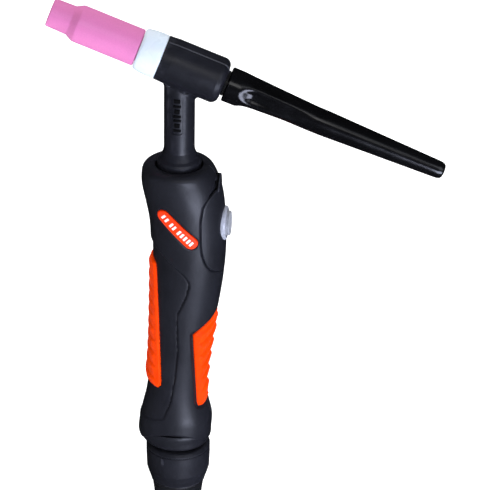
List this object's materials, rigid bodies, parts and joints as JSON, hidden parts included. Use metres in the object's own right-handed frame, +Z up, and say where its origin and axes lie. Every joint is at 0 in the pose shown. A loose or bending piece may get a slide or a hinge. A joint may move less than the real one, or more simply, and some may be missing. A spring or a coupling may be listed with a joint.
{
  "type": "tig torch",
  "caption": "Air-cooled TIG welding torch with angled head, ceramic nozzle, long back cap, push-button grip handle, ball-jointed cable and bayonet connector.",
  "frame": {"origin": "middle of the grip on the handle's axis", "axes": "+Z up the handle's axis towards the head, -X the side the nozzle points to, +X the button's side, -Y the near half of the handle"},
  "size_m": [0.2035, 0.1785, 0.5],
  "materials": {
    "alumina_pink": "fired alumina, smooth matt",
    "ptfe_white": "smooth PTFE",
    "head_black": "fine matt moulding",
    "brass": "machined",
    "copper": "drawn",
    "tungsten": "ground",
    "cap_black": "glossy moulding",
    "seal_rubber": "smooth",
    "handle_black": "fine matt moulding",
    "grip_orange": "soft matt",
    "badge_red": "satin",
    "button_grey": "satin",
    "steel": "bright",
    "switch_plastic": "satin",
    "board": "lacquered",
    "wire": "smooth",
    "rubber_black": "matt rubber",
    "cable_sheath": "matt rubber",
    "tie_fabric": "hook and loop"
  },
  "bodies": {
    "torch": {"nozzle": "alumina_pink", "cup_insulator": "ptfe_white", "head_cover": "head_black", "head_core": "brass", "neck_tube": "copper", "collet_body": "copper", "collet": "copper", "handle_near": "handle_black", "handle_far": "handle_black", "front_grip_pad": "grip_orange", "rear_grip_pad": "grip_orange", "badge_near": "badge_red", "badge_far": "badge_red", "switch_cover": "handle_black", "button_bezel": "button_grey", "button_spring": "steel", "switch_body": "switch_plastic", "switch_board": "board", "switch_terminals": "steel", "switch_wires": "wire", "handle_screws": "steel", "power_adapter": "brass", "inner_hose": "rubber_black", "hose_ferrule": "brass", "end_ring": "handle_black", "cable_run": "cable_sheath", "cable_coil": "cable_sheath", "cable_tail": "cable_sheath", "coil_ties": "tie_fabric", "plug_sleeve": "rubber_black", "plug_body": "rubber_black", "plug_pin": "brass", "plug_cable_end": "cable_sheath"},
    "cap_travel": {"back_cap_o_ring": "seal_rubber"},
    "cap": {"back_cap": "cap_black"},
    "electrode": {"electrode": "tungsten"},
    "button": {"push_button": "button_grey"},
    "plunger": {"switch_plunger": "switch_plastic"},
    "cable_end": {"swivel_ball": "handle_black", "swivel_collar": "handle_black", "cable_boot": "rubber_black", "boot_cable": "cable_sheath"}
  },
  "joints": [
    {"name": "back_cap_travel", "type": "slide", "parent": "torch", "child": "cap_travel", "axis": [0.9397, 0, -0.342], "range_m": [0, 0.00556]},
    {"name": "back_cap_turn", "type": "hinge", "parent": "cap_travel", "child": "cap", "pos_m": [0, 0, 0.1345], "axis": [0.9397, 0, -0.342], "range_deg": [0, 2520]},
    {"name": "electrode_slide", "type": "slide", "parent": "torch", "child": "electrode", "axis": [-0.9397, 0, 0.342], "range_m": [-0.01, 0.02]},
    {"name": "button_press", "type": "slide", "parent": "torch", "child": "button", "axis": [-1, 0, 0], "range_m": [0, 0.0015], "stiffness_N_per_m": 300, "springref_m": -0.003, "deforming": ["button_spring"]},
    {"name": "plunger_press", "type": "slide", "parent": "torch", "child": "plunger", "axis": [-1, 0, 0], "range_m": [0, 0.0015]},
    {"name": "cable_tilt", "type": "hinge", "parent": "torch", "child": "cable_end", "pos_m": [0, 0, -0.0735], "axis": [0, 1, 0], "range_deg": [-10, 10]}
  ],
  "couplings": [
    {"joint": "back_cap_turn", "follows": "back_cap_travel", "rad_per_m": 7915.8},
    {"joint": "plunger_press", "follows": "button_press", "ratio": 1}
  ]
}
